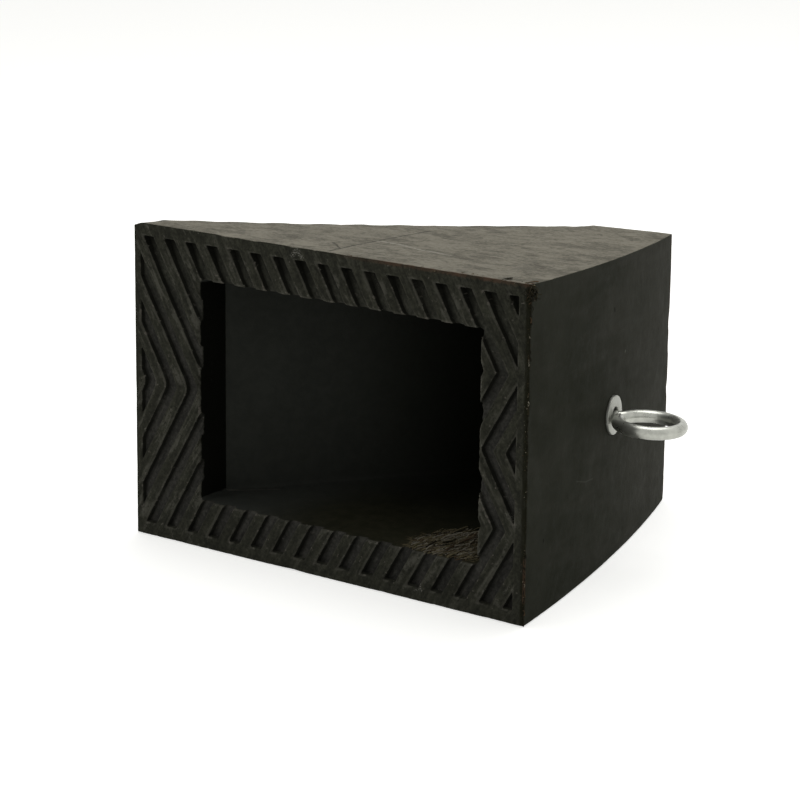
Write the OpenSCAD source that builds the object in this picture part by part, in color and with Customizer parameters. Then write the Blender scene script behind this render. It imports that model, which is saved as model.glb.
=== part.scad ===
// Moulded rubber wheel stop with a hollow tread face and a bent wire eye bolt.
// It lies on one of its long sides, with the tread face towards -Y.
// The shapes are drawn upright: x runs from toe to heel, y from tread to crest,
// z across the width. lay_on_side() then turns them to rest on the drafted side.

/* [Rubber body] */
// Length of the tread face, toe to heel
chock_length = 300; // [270:1:340]
// Width of the tread face
chock_width = 200; // [170:1:240]
// Height from the tread face to the back of the crest
chock_height = 242; // [225:1:270]
// Height of the blunt toe
toe_height = 17; // [10:0.5:24]
// How far the top of the toe leans back
toe_set_back = 2; // [0:0.5:6]
// Length of the flat crest
crest_length = 54; // [40:1:66]
// Rise of the crest towards the heel, in degrees
crest_rise = 12; // [4:1:16]
// Lean of the heel face, in degrees
heel_lean = 13.7; // [10:0.1:16]
// How far the heel face bulges outwards
heel_bulge = 6.5; // [2:0.5:10]
// How far the wheel face is hollowed
wheel_hollow = 10; // [4:0.5:14]
// Draft of the two long sides, in degrees
side_draft = 2.9; // [1:0.1:4]
// Radius of the moulded edges across the width
edge_radius = 1.5; // [1:0.5:5]

/* [Wheel face ridges] */
// Number of waves between toe and crest
ridge_count = 11; // [7:1:15]
// Depth of each wave
ridge_depth = 2.4; // [1:0.2:4]

/* [Pocket] */
// Solid rubber between the toe and the pocket
toe_block = 53.5; // [48:0.5:64]
// Thickness of the heel wall
heel_wall = 33; // [28:1:40]
// Thickness of the two side walls
side_wall = 30; // [24:1:36]
// Thickness of the wall behind the wheel face
slope_wall = 33.5; // [28:0.5:36]
// Solid rubber under the front of the crest
crest_wall = 40; // [32:1:56]
// Radius of the pocket's upright corners
pocket_radius = 3; // [1:0.5:8]

/* [Tread] */
// Distance from one rib to the next, along the length
tread_pitch = 17.3; // [15:0.1:20]
// Width of a rib, along the length
tread_rib = 8.8; // [7:0.1:10]
// Depth of the grooves
tread_depth = 4; // [2:0.5:6]
// Slant of the ribs off the width direction, in degrees
tread_slant = 30.5; // [24:0.5:34]
// Where the first groove meets the side rims
tread_start = 7.7; // [6:0.1:12]
// Rim along the two long sides
rim_side = 8; // [5:0.5:12]
// Rim along the toe
rim_toe = 5.5; // [4:0.5:9]
// Rim along the heel
rim_heel = 8.5; // [6:0.5:12]

/* [Eye bolt] */
// Diameter of the wire
wire_d = 8; // [6:0.5:9]
// Inside diameter of the eye
eye_id = 30; // [26:1:40]
// How far the neck turns off the shank, in degrees
neck_turn = 65; // [62:1:68]
// Bend radius of the neck, to the middle of the wire
neck_bend = 6; // [5.5:0.5:8]
// Gap between the outer washer and the eye
eye_standoff = 0.4; // [0.3:0.1:2]
// Gap between the wire's cut end and the shank
eye_gap = 0.6; // [0.4:0.1:2]
// How far the eye hangs below the shank's line, in degrees
eye_droop = 3.2; // [0:0.2:5]
// Where the shank sits across the width, off the middle
eye_offset = -3; // [-10:0.5:10]
// Clearance round the shank in the rubber
hole_clearance = 1; // [0.5:0.1:1.5]
// Thread that stands past the nut
thread_end = 5; // [2:0.5:10]

/* [Washers and nut] */
// Outside diameter of both washers
washer_od = 24; // [20:1:30]
// Thickness of both washers
washer_t = 2; // [1:0.25:3]
// Clearance round the shank in the washers
washer_clearance = 1.2; // [0.6:0.1:1.6]
// How far the outer washer sits above the shank's middle
washer_lift = 1; // [0:0.1:1]
// Nut size across the flats
nut_af = 13; // [12:0.5:17]
// Height of the nut
nut_h = 6.5; // [5:0.5:9]
// Clearance between the nut's bore and the shank
thread_clearance = 0.1; // [0.05:0.05:0.2]

/* [Hidden] */
$fn = 64;
cut = 1;
corner_steps = 5;
heel_steps = 25;
ridge_steps = 12;
thread_chamfer = 1;
neck_swell = 0.1;

// Outline of the long side
toe_foot = [0, 0];
heel_foot = [chock_length, 0];
heel_top = [chock_length - chock_height * tan(heel_lean), chock_height];
crest_front = heel_top - crest_length * [cos(crest_rise), sin(crest_rise)];
toe_top = [toe_set_back, toe_height];
wheel_dir = unit(crest_front - toe_top);

// Tread window inside the rim
tread_half = chock_width / 2 - rim_side;
tread_lead = tan(tread_slant) * tread_half;
tread_groove = tread_pitch - tread_rib;
first_groove = ceil((rim_toe - tread_start - tread_lead - tread_groove) / tread_pitch);
last_groove = floor((chock_length - rim_heel - tread_start) / tread_pitch);

// Pocket
pocket_heel_x = chock_length - heel_wall / cos(heel_lean);
pocket_half = chock_width / 2 - side_wall;
pocket_top = crest_front.y - crest_wall;
pocket_wheel_x = toe_top.x + slope_wall / wheel_dir.y;
middle_groove = round(((toe_block + pocket_heel_x) / 2 - tread_start) / tread_pitch);

// Bolt line, square to the heel face at the middle facet of its curve
seat_low = heel_point((heel_steps - 1) / 2 / heel_steps);
seat_high = heel_point((heel_steps + 1) / 2 / heel_steps);
bolt_seat = (seat_low + seat_high) / 2;
bolt_wall = heel_wall + (bolt_seat - heel_foot) * [cos(heel_lean), sin(heel_lean)];

// Eye
eye_r = (eye_id + wire_d) / 2;
eye_x = washer_t + eye_standoff + wire_d / 2 + eye_r;
neck_x = eye_x - (neck_bend + eye_r) * sin(neck_turn);
eye_shift = (neck_bend + eye_r) * cos(neck_turn) - neck_bend;
end_turn = asin((wire_d / 2 + eye_gap - eye_shift) / eye_r);
shank_length = bolt_wall + washer_t + nut_h + thread_end;

// Where the side rests
rest_x = chock_length / 2;
rest_y = 100;
rest_half = chock_width / 2 - rest_y * tan(side_draft);

function unit(v) = v / norm(v);

// Point at share t of an arc from a to b that rises off its chord on the right
function bow(a, b, rise, t) =
    let (
        chord = norm(b - a),
        dir = (b - a) / chord,
        side = [dir.y, -dir.x],
        r = (chord * chord / 4 + rise * rise) / (2 * rise),
        turn = asin(chord / 2 / r) * (2 * t - 1)
    )
    (a + b) / 2 + dir * r * sin(turn) + side * (r * cos(turn) - r + rise);

function heel_point(t) = bow(heel_foot, heel_top, heel_bulge, t);

// The wheel face, with its waves cut in from the hollow curve
function wheel_point(t) =
    bow(crest_front, toe_top, -wheel_hollow, t)
    + [wheel_dir.y, -wheel_dir.x] * ridge_depth * (1 - cos(360 * ridge_count * t)) / 2;

// Arc that rounds the corner p between its neighbours a and b
function round_corner(a, p, b, r) =
    let (
        to_a = unit(a - p),
        to_b = unit(b - p),
        half = acos(to_a * to_b) / 2,
        mid = p + unit(to_a + to_b) * r / sin(half),
        from = p + to_a * r / tan(half) - mid,
        to = p + to_b * r / tan(half) - mid
    )
    [for (i = [0 : corner_steps])
        let (mix = from * (1 - i / corner_steps) + to * i / corner_steps)
        mid + unit(mix) * r];

side_outline = concat(
    round_corner(toe_top, toe_foot, heel_foot, edge_radius),
    round_corner(toe_foot, heel_foot, heel_point(1 / heel_steps), edge_radius / 2),
    [for (i = [1 : heel_steps - 1]) heel_point(i / heel_steps)],
    round_corner(heel_point(1 - 1 / heel_steps), heel_top, crest_front, edge_radius),
    round_corner(heel_top, crest_front, toe_top, edge_radius),
    [for (i = [2 : ridge_count * ridge_steps - 2]) wheel_point(i / ridge_count / ridge_steps)],
    round_corner(crest_front, toe_top, toe_foot, edge_radius)
);

// Prism along the width, from an outline in x and y
module across(outline) {
    linear_extrude(chock_width + 2 * cut, center = true)
        polygon(outline);
}

// Prism along the length with the sides' draft, for a given half width at the tread
module drafted(half) {
    low = half + cut * tan(side_draft);
    high = half - chock_height * tan(side_draft);
    rotate([90, 0, 90])
        linear_extrude(chock_length + heel_bulge + cut)
            polygon([[-cut, -low], [-cut, low], [chock_height, high], [chock_height, -high]]);
}

// Prism from the tread face into the body, from an outline in x and z
module into_tread(outline, depth) {
    translate([0, depth, 0])
        rotate([90, 0, 0])
            linear_extrude(depth + cut)
                polygon(outline);
}

// Left edge of groove n at z: plain chevrons at the toe, a zigzag at the heel
function groove_x(n, z) =
    let (off_rim = tread_half - abs(z))
    tread_start + n * tread_pitch
    + tan(tread_slant) * (n < middle_groove ? off_rim : min(off_rim, abs(z)));

module tread_grooves() {
    folds = [for (k = [-2 : 2]) k * tread_half / 2];
    window = [
        [rim_toe, -tread_half],
        [chock_length - rim_heel, -tread_half],
        [chock_length - rim_heel, tread_half],
        [rim_toe, tread_half]
    ];
    intersection() {
        into_tread(window, tread_depth);
        union() {
            for (n = [first_groove : last_groove])
                into_tread(concat(
                    [for (z = folds) [groove_x(n, z), z]],
                    [for (k = [4 : -1 : 0]) [groove_x(n, folds[k]) + tread_groove, folds[k]]]
                ), tread_depth);
        }
    }
}

module pocket() {
    slope = wheel_dir.y / wheel_dir.x;
    wheel_y = function (x) toe_top.y + (x - pocket_wheel_x) * slope;
    wheel_x = function (y) pocket_wheel_x + (y - toe_top.y) / slope;
    heel_x = function (y) pocket_heel_x - y * tan(heel_lean);
    mouth = [
        [toe_block, -pocket_half],
        [heel_x(-cut), -pocket_half],
        [heel_x(-cut), pocket_half],
        [toe_block, pocket_half]
    ];
    intersection() {
        across([
            [toe_block, -cut],
            [heel_x(-cut), -cut],
            [heel_x(pocket_top), pocket_top],
            [wheel_x(pocket_top), pocket_top],
            [toe_block, wheel_y(toe_block)]
        ]);
        drafted(pocket_half);
        into_tread([for (k = [0 : 3])
            each round_corner(mouth[(k + 3) % 4], mouth[k], mouth[(k + 1) % 4], pocket_radius)
        ], pocket_top + cut);
    }
}

// Frame of the bolt: x out of the heel face, y up the heel, z across the width
module on_bolt_line() {
    translate([bolt_seat.x, bolt_seat.y, eye_offset])
        rotate([0, 0, heel_lean])
            children();
}

module rod(d, from, to) {
    translate([from, 0, 0])
        rotate([0, 90, 0])
            cylinder(d = d, h = to - from);
}

module lay_on_side() {
    rotate([-side_draft, 0, 0])
        translate([-rest_x, -rest_y, rest_half])
            children();
}

module rubber_body() {
    color([0.19, 0.19, 0.17])
        lay_on_side()
            difference() {
                intersection() {
                    across(side_outline);
                    drafted(chock_width / 2);
                }
                pocket();
                tread_grooves();
                on_bolt_line()
                    rod(wire_d + 2 * hole_clearance, -bolt_wall - wire_d, wire_d);
            }
}

module wire_arc(bend_r, turn) {
    rotate_extrude(angle = turn)
        translate([bend_r, 0])
            circle(d = wire_d);
}

// The neck and the eye meet on the line through both bend centres
module eye() {
    translate([0, neck_bend, 0])
        rotate([0, 0, neck_turn - 90]) {
            mirror([0, 1, 0])
                wire_arc(neck_bend, neck_turn);
            translate([neck_bend + eye_r, 0, 0])
                mirror([1, 0, 0])
                    wire_arc(eye_r, 270 + neck_turn - end_turn);
        }
}

module eye_bolt() {
    color([0.72, 0.73, 0.72])
        lay_on_side()
            on_bolt_line() {
                rod(wire_d, thread_chamfer - shank_length, neck_x);
                translate([-shank_length, 0, 0])
                    rotate([0, 90, 0])
                        cylinder(d1 = wire_d - 2 * thread_chamfer, d2 = wire_d, h = thread_chamfer);
                translate([neck_x, 0, 0]) {
                    sphere(d = wire_d + neck_swell);
                    rotate([0, eye_droop, 0])
                        eye();
                }
            }
}

module washer() {
    difference() {
        rod(washer_od, 0, washer_t);
        rod(wire_d + 2 * washer_clearance, -cut, washer_t + cut);
    }
}

module outer_washer() {
    color([0.75, 0.76, 0.74])
        lay_on_side()
            on_bolt_line()
                translate([0, 0, washer_lift])
                    washer();
}

module inner_washer() {
    color([0.75, 0.76, 0.74])
        lay_on_side()
            on_bolt_line()
                translate([-bolt_wall - washer_t, 0, 0])
                    washer();
}

module nut() {
    corner_r = nut_af / 2 / cos(30);
    bevel = corner_r - nut_af / 2;
    color([0.70, 0.71, 0.70])
        lay_on_side()
            on_bolt_line()
                translate([-bolt_wall - washer_t - nut_h, 0, 0])
                    rotate([0, 90, 0])
                        difference() {
                            intersection() {
                                cylinder(r = corner_r, h = nut_h, $fn = 6);
                                rotate_extrude()
                                    polygon([
                                        [0, 0], [nut_af / 2, 0], [corner_r, bevel / 2],
                                        [corner_r, nut_h], [0, nut_h]
                                    ]);
                            }
                            translate([0, 0, -cut])
                                cylinder(d = wire_d + 2 * thread_clearance, h = nut_h + 2 * cut);
                        }
}

rubber_body();
eye_bolt();
outer_washer();
inner_washer();
nut();
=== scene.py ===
import math

import bmesh
import bpy
import numpy as np
from mathutils import Matrix, Vector


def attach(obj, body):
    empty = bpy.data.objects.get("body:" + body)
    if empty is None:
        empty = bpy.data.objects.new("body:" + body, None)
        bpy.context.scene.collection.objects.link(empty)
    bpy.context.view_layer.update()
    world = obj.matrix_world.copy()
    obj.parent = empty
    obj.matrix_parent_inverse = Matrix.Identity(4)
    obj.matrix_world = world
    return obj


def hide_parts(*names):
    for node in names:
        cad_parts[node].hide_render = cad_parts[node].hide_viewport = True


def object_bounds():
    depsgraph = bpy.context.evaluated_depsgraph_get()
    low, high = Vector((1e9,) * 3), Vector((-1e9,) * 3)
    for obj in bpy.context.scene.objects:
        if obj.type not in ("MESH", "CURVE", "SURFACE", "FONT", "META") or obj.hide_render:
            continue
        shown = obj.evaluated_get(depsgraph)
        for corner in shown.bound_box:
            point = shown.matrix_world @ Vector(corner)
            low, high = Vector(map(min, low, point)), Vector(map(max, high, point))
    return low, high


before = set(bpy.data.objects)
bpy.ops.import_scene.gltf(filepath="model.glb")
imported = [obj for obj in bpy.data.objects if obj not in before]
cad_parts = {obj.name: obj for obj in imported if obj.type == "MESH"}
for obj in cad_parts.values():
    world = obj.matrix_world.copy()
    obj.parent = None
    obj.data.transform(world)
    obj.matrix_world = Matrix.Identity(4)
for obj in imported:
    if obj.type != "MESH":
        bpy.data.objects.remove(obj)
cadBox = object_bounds()
print("frame loaded")

# Metres and degrees. x runs from toe to heel, y from tread to crest, z across the width,
# with the tread face at y = 0. layOnSide turns all of it to rest on the drafted side.
chock = {
    "length": 0.300,
    "width": 0.200,
    "height": 0.242,
    "toeHeight": 0.017,
    "toeSetBack": 0.002,
    "crestLength": 0.054,
    "crestRise": 12,
    "heelLean": 13.7,
    "heelBulge": 0.0065,
    "heelStrips": 25,        # flat strips that the solid's bulge is made of
    "wheelHollow": 0.010,
    "waves": 11,
    "waveDepth": 0.0024,
    "draft": 2.9,
    "edgeRound": 0.0015,
    "footRound": 0.00075,
    "sideRound": 0.0006,
    "sideHold": 0.0007,
    "toeBlock": 0.0535,
    "heelWall": 0.033,
    "sideWall": 0.030,
    "slopeWall": 0.0335,
    "crestWall": 0.040,
    "pocketRound": 0.003,
    "restHeight": 0.100,     # height up the chock of the point that lies at the origin
}

halfWidth = chock["width"] / 2
draftRate = math.tan(math.radians(chock["draft"]))
leanRate = math.tan(math.radians(chock["heelLean"]))
restHalf = halfWidth - chock["restHeight"] * draftRate
layOnSide = Matrix.Rotation(math.radians(-chock["draft"]), 4, "X") @ Matrix.Translation(
    (-chock["length"] / 2, -chock["restHeight"], restHalf))


def unit(v):
    return v / np.linalg.norm(v)


def bow(a, b, rise, t):
    chord = np.linalg.norm(b - a)
    along = (b - a) / chord
    side = np.array([along[1], -along[0]])
    r = (chord ** 2 / 4 + rise ** 2) / (2 * rise)
    turn = math.asin(chord / 2 / r) * (2 * t - 1)
    return (a + b) / 2 + along * r * math.sin(turn) + side * (r * math.cos(turn) - r + rise)


def roundCorner(a, p, b, r, steps=5):
    toA, toB = unit(a - p), unit(b - p)
    half = math.acos(toA @ toB) / 2
    mid = p + unit(toA + toB) * r / math.sin(half)
    start, end = p + toA * r / math.tan(half) - mid, p + toB * r / math.tan(half) - mid
    return [mid + unit(start * (1 - i / steps) + end * i / steps) * r for i in range(steps + 1)]


toeFoot = np.array([0.0, 0.0])
heelFoot = np.array([chock["length"], 0.0])
heelTop = np.array([chock["length"] - chock["height"] * leanRate, chock["height"]])
crestTurn = math.radians(chock["crestRise"])
crestFront = heelTop - chock["crestLength"] * np.array([math.cos(crestTurn), math.sin(crestTurn)])
toeTop = np.array([chock["toeSetBack"], chock["toeHeight"]])
wheelDir = unit(crestFront - toeTop)
pocketHeel = chock["length"] - chock["heelWall"] / math.cos(math.radians(chock["heelLean"]))
pocketHalf = halfWidth - chock["sideWall"]


def heelPoint(t):
    return bow(heelFoot, heelTop, chock["heelBulge"], t)


def heelStrip(k):            # the end of the k-th strip up the heel
    return heelPoint(k / chock["heelStrips"])


def wheelPoint(t):
    wave = chock["waveDepth"] * (1 - math.cos(2 * math.pi * chock["waves"] * t)) / 2
    return bow(crestFront, toeTop, -chock["wheelHollow"], t) + np.array([wheelDir[1], -wheelDir[0]]) * wave


def span(a, b, cell):
    return [float(v) for v in np.linspace(a, b, max(1, round((b - a) / cell)) + 1)]


def spanOver(marks, cell):
    values = [marks[0]]
    for a, b in zip(marks, marks[1:]):
        values += span(a, b, cell)[1:]
    return values


# Meshes and pieces
def bridge(mesh, ring, new):
    for k in range(len(ring)):
        m = (k + 1) % len(ring)
        mesh.faces.new((ring[k], ring[m], new[m], new[k]))
    return new


def asMesh(mesh, name):
    data = bpy.data.meshes.new(name)
    mesh.to_mesh(data)
    mesh.free()
    return data


def smoothMesh(mesh, name):
    bmesh.ops.recalc_face_normals(mesh, faces=mesh.faces)
    for face in mesh.faces:
        face.smooth = True
    return asMesh(mesh, name)


def readPoints(data):
    values = np.empty(len(data.vertices) * 3)
    data.vertices.foreach_get("co", values)
    return values.reshape(-1, 3)


def placed(name, data):
    piece = bpy.data.objects.new(name, data)
    bpy.context.scene.collection.objects.link(piece)
    return piece


def settle(piece, *nodes, slot):
    piece.data.transform(layOnSide)
    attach(piece, "root")
    if nodes:
        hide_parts(*nodes)
    print(piece.name, len(piece.data.polygons), "faces")


# Nodes of both kinds of tree. Most helpers find the tree from a socket that they are given
def isSocket(term):
    return isinstance(term, bpy.types.NodeSocket)


def plug(socket, term):
    if isSocket(term):
        socket.id_data.links.new(term, socket)
    elif term is not None:
        socket.default_value = term


def fill(node, **plugs):
    for key, term in plugs.items():
        plug(node.inputs[key.replace("_", " ")], term)
    return node


def add(tree, kind, settings=None, **plugs):
    node = tree.nodes.new(kind)
    for key, value in (settings or {}).items():
        setattr(node, key, value)
    return fill(node, **plugs)


def addInOrder(kind, settings, terms):
    node = add(next(v.id_data for v in terms if isSocket(v)), kind, settings)
    for socket, term in zip(node.inputs, terms):
        plug(socket, term)
    return node.outputs[0]


def calc(operation, *terms):
    return addInOrder("ShaderNodeMath", {"operation": operation}, terms)


def chain(operation, terms):
    result = terms[0]
    for term in terms[1:]:
        result = calc(operation, result, term)
    return result


def product(*terms):
    return chain("MULTIPLY", terms)


def total(*terms):
    return chain("ADD", terms)


def minus(a, b):
    return calc("SUBTRACT", a, b)


def weighed(weights, *terms):
    return total(*[term if weight == 1 else product(term, weight) for weight, term in zip(weights, terms)])


def joined(*terms):
    return addInOrder("ShaderNodeCombineXYZ", {}, terms)


def split(vector):
    return add(vector.id_data, "ShaderNodeSeparateXYZ", Vector=vector).outputs


def scaled(vector, share):
    return add(vector.id_data, "ShaderNodeVectorMath", {"operation": "SCALE"}, Vector=vector, Scale=share).outputs[0]


def ramp(value, low, high, start=0.0, end=1.0, smooth=True):
    kind = {"interpolation_type": "SMOOTHSTEP" if smooth else "LINEAR"}
    return add(value.id_data, "ShaderNodeMapRange", kind, Value=value, From_Min=low, From_Max=high,
               To_Min=start, To_Max=end).outputs[0]


def noise(where, scale, detail=2.0, rough=0.5, distort=0.0):
    return add(where.id_data, "ShaderNodeTexNoise", Vector=where, Scale=scale, Detail=detail, Roughness=rough,
               Distortion=distort).outputs[0]


def stored(tree, name):      # a number that the mesh carries
    if tree.type == "GEOMETRY":
        return add(tree, "GeometryNodeInputNamedAttribute", {"data_type": "FLOAT"}, Name=name).outputs["Attribute"]
    return add(tree, "ShaderNodeAttribute", {"attribute_name": name}).outputs["Fac"]


# Geometry Nodes
def newTree(name, settings):
    tree = bpy.data.node_groups.new(name, "GeometryNodeTree")
    kinds = {int: "NodeSocketInt", float: "NodeSocketFloat", tuple: "NodeSocketVector"}
    tree.interface.new_socket("Geometry", in_out="INPUT", socket_type="NodeSocketGeometry")
    for label, value in settings.items():
        tree.interface.new_socket(label, in_out="INPUT", socket_type=kinds.get(type(value), "NodeSocketMaterial"))
    tree.interface.new_socket("Geometry", in_out="OUTPUT", socket_type="NodeSocketGeometry")
    return tree, add(tree, "NodeGroupInput").outputs, add(tree, "NodeGroupOutput").inputs


def store(flow, domain, name, value):
    return add(flow.id_data, "GeometryNodeStoreNamedAttribute", {"data_type": "FLOAT", "domain": domain},
               Geometry=flow, Name=name, Value=value).outputs[0]


def endTree(flow, given, out):
    tree = flow.id_data
    flow = add(tree, "GeometryNodeRealizeInstances", Geometry=flow).outputs[0]
    flow = add(tree, "GeometryNodeSetMaterial", Geometry=flow, Material=given["Material"]).outputs[0]
    plug(out["Geometry"], flow)
    return tree


def runTree(source, tree, values, name):
    modifier = source.modifiers.new("Made by nodes", "NODES")
    modifier.node_group = tree
    for item in tree.interface.items_tree:
        if item.in_out == "INPUT" and item.name in values:
            modifier[item.identifier] = values[item.name]
    bpy.context.view_layer.update()
    graph = bpy.context.evaluated_depsgraph_get()
    data = bpy.data.meshes.new_from_object(source.evaluated_get(graph), depsgraph=graph)
    bpy.data.objects.remove(source)
    data.name = name
    return placed(name, data)


# Finishes
def newMaterial(name):
    material = bpy.data.materials.new(name)
    material.use_nodes = True
    tree = material.node_tree
    return material, tree.nodes["Principled BSDF"], add(tree, "ShaderNodeTexCoord").outputs["Object"]


def blendColor(share, a, b):
    node = add(share.id_data, "ShaderNodeMix", {"data_type": "RGBA"})
    for socket, term in ((node.inputs[0], share), (node.inputs[6], a), (node.inputs[7], b)):
        plug(socket, (*term, 1.0) if isinstance(term, tuple) else term)
    return node.outputs[2]


def bumped(height, strength, distance):
    return add(height.id_data, "ShaderNodeBump", Strength=strength, Distance=distance, Height=height).outputs[0]


def upright(where):          # back to the chock's own x, y and z
    return add(where.id_data, "ShaderNodeMapping", Vector=where,
               Location=(chock["length"] / 2, chock["restHeight"], -restHalf),
               Rotation=(math.radians(chock["draft"]), 0, 0)).outputs[0]


# Marks: half width, strength, and the points of a line
topMarks = {                 # along x and y on the dusty side
    "crack": [
        (0.0014, 0.85, (0.1522, 0.0034), (0.1471, 0.0353), (0.1448, 0.0587), (0.1420, 0.0860), (0.1392, 0.1190)),
        (0.0011, 0.8, (0.1314, 0.0338), (0.1491, 0.0185)),
        (0.0022, 0.3, (0.1637, 0.1397), (0.1900, 0.1520), (0.2123, 0.1570)),
        (0.0022, 0.22, (0.2200, 0.1720), (0.2339, 0.2145)),
    ],
    "scratch": [(0.0026, 0.5, (0.1463, 0.0607), (0.1609, 0.0605), (0.1842, 0.0526), (0.2060, 0.0501))],
}
treadMarks = {               # along x and across z on the tread face, drawn onto the mesh
    "scratch": [
        (0.0022, 1.0, (0.1276, 0.0948), (0.1308, 0.0984), (0.1349, 0.0945)),
        (0.0010, 1.0, (0.2254, -0.0896), (0.2268, -0.0930)),
        (0.0010, 0.6, (0.2214, -0.0940), (0.2261, -0.0925)),
        (0.0008, 0.45, (0.2859, -0.0823), (0.2878, -0.0794), (0.2905, -0.0768)),
        (0.0013, 0.3, (0.2850, -0.0490), (0.2882, -0.0513)),
        (0.0022, 0.3, (0.2865, -0.0349), (0.2925, -0.0408)),
    ],
    "rub": [
        (0.0012, 0.9, (0.2660, -0.0880), (0.2758, -0.0728), (0.2839, -0.0611), (0.2872, -0.0534)),
        (0.0030, 0.9, (0.2147, -0.0814), (0.2208, -0.0750), (0.2257, -0.0719)),
        (0.0022, 0.7, (0.2297, -0.0866), (0.2369, -0.0769)), (0.0020, 0.6, (0.2086, -0.0909), (0.2122, -0.0860)),
        (0.0020, 0.7, (0.2676, -0.0384), (0.2687, -0.0342)), (0.0020, 0.8, (0.0780, 0.0856), (0.0806, 0.0795)),
        (0.0018, 0.8, (0.0907, 0.0850), (0.0932, 0.0814)), (0.0022, 0.8, (0.0474, 0.0466), (0.0516, 0.0406)),
        (0.0022, 0.5, (0.2795, -0.0897), (0.2820, -0.0908)), (0.0036, 0.8, (0.0060, -0.0870), (0.0100, -0.0805)),
        (0.0026, 0.7, (0.0520, -0.0690), (0.0500, -0.0745)), (0.0028, 1.0, (0.0255, -0.0445), (0.0330, -0.0310)),
        (0.0026, 0.9, (0.0330, -0.0590), (0.0400, -0.0480)), (0.0026, 0.8, (0.0150, -0.0250), (0.0210, -0.0120)),
        (0.0024, 0.8, (0.0320, 0.0120), (0.0375, 0.0030)), (0.0024, 0.8, (0.2470, 0.0865), (0.2500, 0.0800)),
        (0.0022, 0.8, (0.1600, 0.0860), (0.1625, 0.0810)), (0.0022, 0.7, (0.1950, 0.0865), (0.1975, 0.0815)),
        (0.0022, 0.8, (0.2240, 0.0870), (0.2268, 0.0812)),
    ],
}
pocketScratches = [(0.0007, 0.9, (0.0538, 0.0246), (0.0794, 0.0459))]    # along x and y in the pocket
heelMarks = {                # up the heel and across it
    "crack": [(0.0013, 0.9, (0.1226, 0.0633), (0.1228, 0.0620)), (0.0011, 0.9, (0.0233, -0.0548), (0.0234, -0.0540))],
    "scratch": [(0.0011, 0.35, (0.1428, 0.0327), (0.1432, 0.0332)),
                (0.0006, 0.1, (0.0679, -0.0299), (0.0810, -0.0335), (0.0933, -0.0346))],
}


def markColor(color, u, v, marks, finish, share):
    tree = u.id_data
    place = joined(u, v)
    for half, strength, *points in marks:
        shortest = 1.0
        for a, b in zip(points, points[1:]):
            line = Vector((b[0] - a[0], b[1] - a[1], 0))
            off, dot, near, gap = [add(tree, "ShaderNodeVectorMath", {"operation": kind})
                                   for kind in ("SUBTRACT", "DOT_PRODUCT", "SCALE", "DISTANCE")]
            plug(off.inputs[0], place)
            plug(off.inputs[1], (*a, 0))
            plug(dot.inputs[0], off.outputs[0])
            plug(dot.inputs[1], line / line.length_squared)
            plug(near.inputs[0], line)
            plug(near.inputs["Scale"], ramp(dot.outputs["Value"], 0.0, 1.0, smooth=False))
            plug(gap.inputs[0], off.outputs[0])
            plug(gap.inputs[1], near.outputs[0])
            shortest = calc("MINIMUM", shortest, gap.outputs["Value"])
        color = blendColor(product(ramp(shortest, half, half * 0.3, 0.0, strength), share), color, finish)
    return color


def drawMarks(data, name, marks):
    spots = readPoints(data)[:, [0, 2]]
    values = np.zeros(len(spots))
    for half, strength, *points in marks:
        for a, b in zip(np.array(points), np.array(points)[1:]):
            along = np.clip((spots - a) @ (b - a) / ((b - a) @ (b - a)), 0, 1)
            off = np.linalg.norm(spots - a - along[:, None] * (b - a), axis=1)
            fade = np.clip((half - off) / (half * 0.7), 0, 1)
            values = np.maximum(values, strength * fade * fade * (3 - 2 * fade))
    data.attributes.new(name, "FLOAT", "POINT").data.foreach_set("value", values)


# Rubber
rubber = {
    "deep": (0.0158, 0.0170, 0.0110),
    "skin": (0.0248, 0.0257, 0.0184),
    # near black painted shade: on the groove walls, on the groove floors beside them and near the upper rim, and in
    # the heel cracks
    "wall": (0.0026, 0.0027, 0.0016),
    "groove": (0.0318, 0.0308, 0.0278),
    "grooveHigh": (0.0285, 0.0288, 0.0222),
    "ribTop": (0.0282, 0.0284, 0.0208),
    "rub": (0.078, 0.076, 0.062),
    "scuff": (0.17, 0.166, 0.145),
    # paler rubber on the heel: partly painted light, partly wiped patches
    "wiped": (0.041, 0.0400, 0.0325),
    "crest": (0.052, 0.043, 0.031),
    # darker along the heel's foot edge
    "edgeGrime": (0.0085, 0.0085, 0.0038),
    "mouldStain": (0.075, 0.046, 0.030),
    "pocketToe": (0.0330, 0.0350, 0.0300),
    # painted shade: the pocket lining turns near black towards the heel, deep in the pocket
    "pocketHeel": (0.0018, 0.0024, 0.0004),
    "pocketBrown": (0.0150, 0.0150, 0.0078),
    "pocketPale": (0.0240, 0.0230, 0.0135),
    # painted shade: the pocket's toe wall, which faces the heel, is painted near black
    "toeWall": (0.0016, 0.0018, 0.0008),
    "lint": (0.125, 0.104, 0.062),
    "dust": (0.202, 0.188, 0.150),
    "dustDark": (0.086, 0.080, 0.063),
    "crack": (0.028, 0.026, 0.020),
    "scratch": (0.33, 0.315, 0.265),
    "ridge": (0.060, 0.058, 0.047),
    "fleck": (0.150, 0.136, 0.116),
    "roughness": ("fine", 0.2, 0.8, 0.72, 0.9),
    "shine": 0.10,
    "index": 1.38,
    "bump": (0.5, 0.0006),
    "shake": 0.0022,         # how far the marks on the dusty side waver
    "tear": ((0.234, 0.033), (0.018, 0.026)),      # centre and reach along x and y, in the pocket
}
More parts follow.
